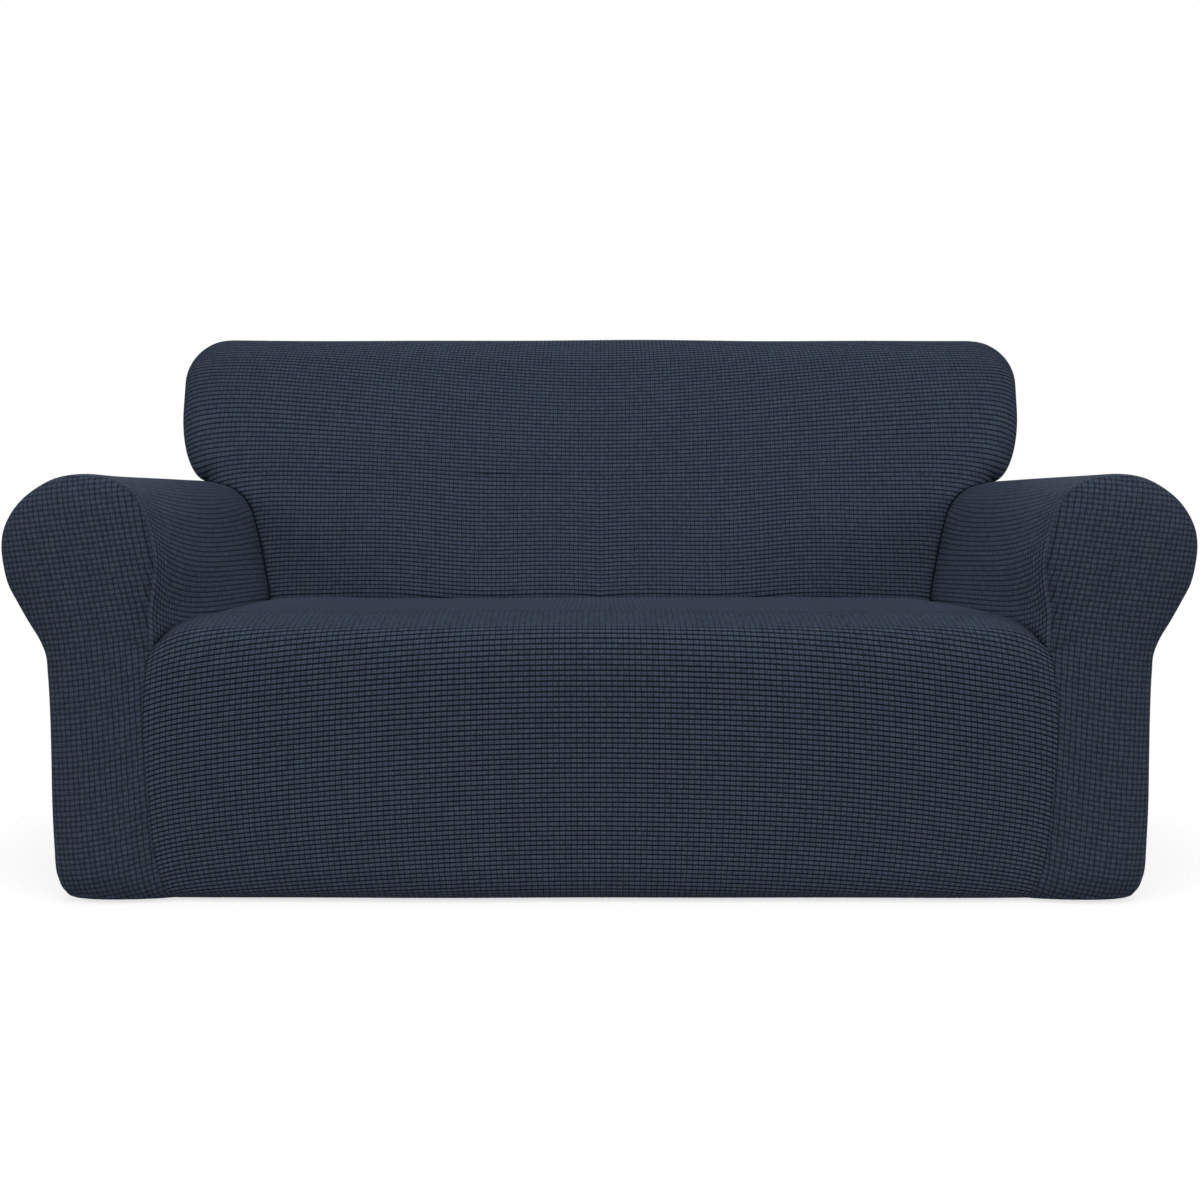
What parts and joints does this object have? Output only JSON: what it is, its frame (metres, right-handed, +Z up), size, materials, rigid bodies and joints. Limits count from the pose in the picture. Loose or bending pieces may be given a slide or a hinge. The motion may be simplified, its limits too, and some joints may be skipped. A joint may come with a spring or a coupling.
{
  "type": "sofa slipcover",
  "caption": "Fitted stretch slipcover shaped to a roll-arm sofa with a T-shaped back: a hollow cloth shell, open underneath.",
  "frame": {"origin": "under the crest of the back, at its middle, where the sofa's back carries the cover", "axes": "+X to the right as seen from the front, +Y towards the rear, +Z up; the front faces -Y"},
  "size_m": [1.7874, 0.914, 0.96],
  "materials": {
    "navy_knit": "matt check-textured stretch knit"
  },
  "bodies": {
    "root": {"seat_skirt": "navy_knit", "inside_back": "navy_knit", "outer_back": "navy_knit", "arm_cover_left": "navy_knit", "arm_cover_right": "navy_knit", "arm_front_left": "navy_knit", "arm_front_right": "navy_knit"}
  },
  "joints": []
}
